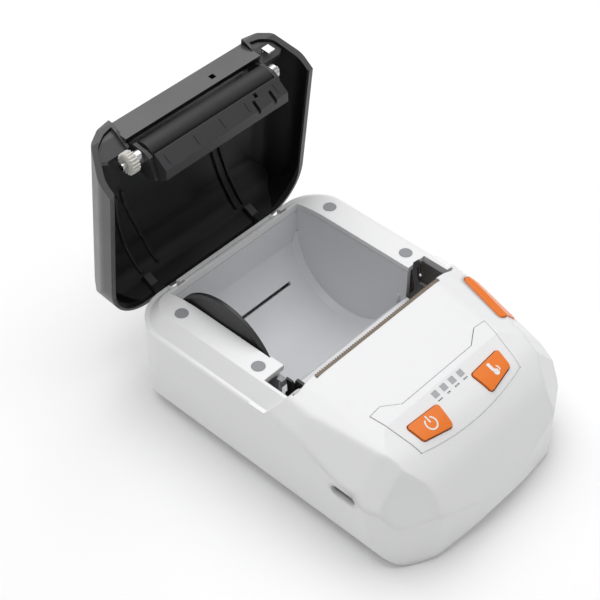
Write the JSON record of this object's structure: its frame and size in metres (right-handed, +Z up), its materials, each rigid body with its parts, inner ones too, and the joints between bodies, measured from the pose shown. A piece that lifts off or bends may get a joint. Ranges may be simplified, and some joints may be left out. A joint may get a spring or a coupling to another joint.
{
  "type": "receipt printer",
  "caption": "Portable thermal receipt printer with a hinged lid standing open over its paper bin, a toothed tear bar and a sloped key panel.",
  "frame": {"origin": "centre of the flat underside, on the surface the printer stands on", "axes": "+Z up, -Y towards the nose where the paper leaves, +X to the right when facing the printer from the nose"},
  "size_m": [0.09, 0.1451, 0.0976],
  "materials": {
    "white_case": "satin white plastic",
    "bin_grey": "light grey plastic",
    "lid_black": "fine-textured black plastic",
    "inner_black": "black plastic",
    "orange_key": "satin orange plastic",
    "grey_trim": "grey plastic",
    "roller_rubber": "ground rubber",
    "foot_rubber": "rubber",
    "nylon_white": "white nylon",
    "steel": "bright steel",
    "blade_steel": "tinted toothed steel",
    "aluminium": "anodised aluminium",
    "head_ceramic": "glazed ceramic",
    "board_green": "solder-masked board",
    "chip_black": "moulded chips",
    "led_lens": "grey lens",
    "cell_blue": "wrapped cell pack",
    "ribbon": "flat ribbon",
    "spring_steel": "spring wire",
    "reflector_white": "white plastic"
  },
  "bodies": {
    "base": {"housing": "white_case", "bottom_cover": "white_case", "foot_pads": "foot_rubber", "case_screws": "steel", "deck_plugs": "grey_trim", "tear_bar": "blade_steel", "paper_bin": "bin_grey", "paper_sensors": "chip_black", "control_panel": "white_case", "led_windows": "led_lens", "panel_board": "board_green", "tact_switches": "chip_black", "led_chips": "reflector_white", "stepper_motor": "aluminium", "gear_axle": "steel", "head_frame": "inner_black", "print_head": "head_ceramic", "heat_sink": "aluminium", "head_springs": "spring_steel", "head_cable": "ribbon", "latch_spring": "spring_steel", "main_board": "board_green", "board_chips": "chip_black", "radio_module": "steel", "usb_socket": "steel", "battery_pack": "cell_blue", "hinge_pins": "steel"},
    "paper_guide": {"paper_guide": "inner_black"},
    "power_button": {"power_button": "orange_key"},
    "feed_button": {"feed_button": "orange_key"},
    "release_button": {"release_button": "orange_key"},
    "latch": {"latch_shaft": "steel", "latch_hook_left": "inner_black", "latch_hook_right": "inner_black"},
    "reduction_gear": {"reduction_gear": "nylon_white"},
    "motor_rotor": {"motor_pinion": "steel", "motor_shaft": "steel"},
    "lid": {"lid_shell": "lid_black", "platen_frame": "inner_black", "paper_beam": "inner_black", "beam_prism": "reflector_white", "platen_bushes": "steel", "ear_plate": "steel", "hinge_arms": "inner_black"},
    "platen": {"platen_shaft": "steel", "platen_roller": "roller_rubber", "platen_gear": "nylon_white"}
  },
  "joints": [
    {"name": "lid_hinge", "type": "hinge", "parent": "base", "child": "lid", "pos_m": [0, 0.0581, 0.0281], "axis": [1, 0, 0], "range_deg": [0, 84]},
    {"name": "platen_spin", "type": "hinge", "parent": "lid", "child": "platen", "pos_m": [0, 0.06655, 0.09022], "axis": [1, 0, 0], "continuous": true},
    {"name": "paper_guide_slide", "type": "slide", "parent": "base", "child": "paper_guide", "axis": [1, 0, 0], "range_m": [0, 0.04]},
    {"name": "power_press", "type": "slide", "parent": "base", "child": "power_button", "axis": [0, 0.342, -0.9397], "range_m": [0, 0.0006], "stiffness_N_per_m": 1500},
    {"name": "feed_press", "type": "slide", "parent": "base", "child": "feed_button", "axis": [0, 0.342, -0.9397], "range_m": [0, 0.0006], "stiffness_N_per_m": 1500},
    {"name": "release_press", "type": "slide", "parent": "base", "child": "release_button", "axis": [-0.8, 0, -0.6], "range_m": [0, 0.0012], "stiffness_N_per_m": 1200},
    {"name": "latch_turn", "type": "hinge", "parent": "base", "child": "latch", "pos_m": [0, 0.0006, 0.027], "axis": [1, 0, 0], "range_deg": [-4.2, 0]},
    {"name": "gear_spin", "type": "hinge", "parent": "base", "child": "reduction_gear", "pos_m": [0, -0.007, 0.03446], "axis": [1, 0, 0], "continuous": true},
    {"name": "motor_spin", "type": "hinge", "parent": "base", "child": "motor_rotor", "pos_m": [0, -0.0105, 0.02709], "axis": [1, 0, 0], "continuous": true}
  ],
  "couplings": [
    {"joint": "latch_turn", "follows": "release_press", "rad_per_m": -58.178},
    {"joint": "motor_spin", "follows": "gear_spin", "ratio": -3}
  ]
}
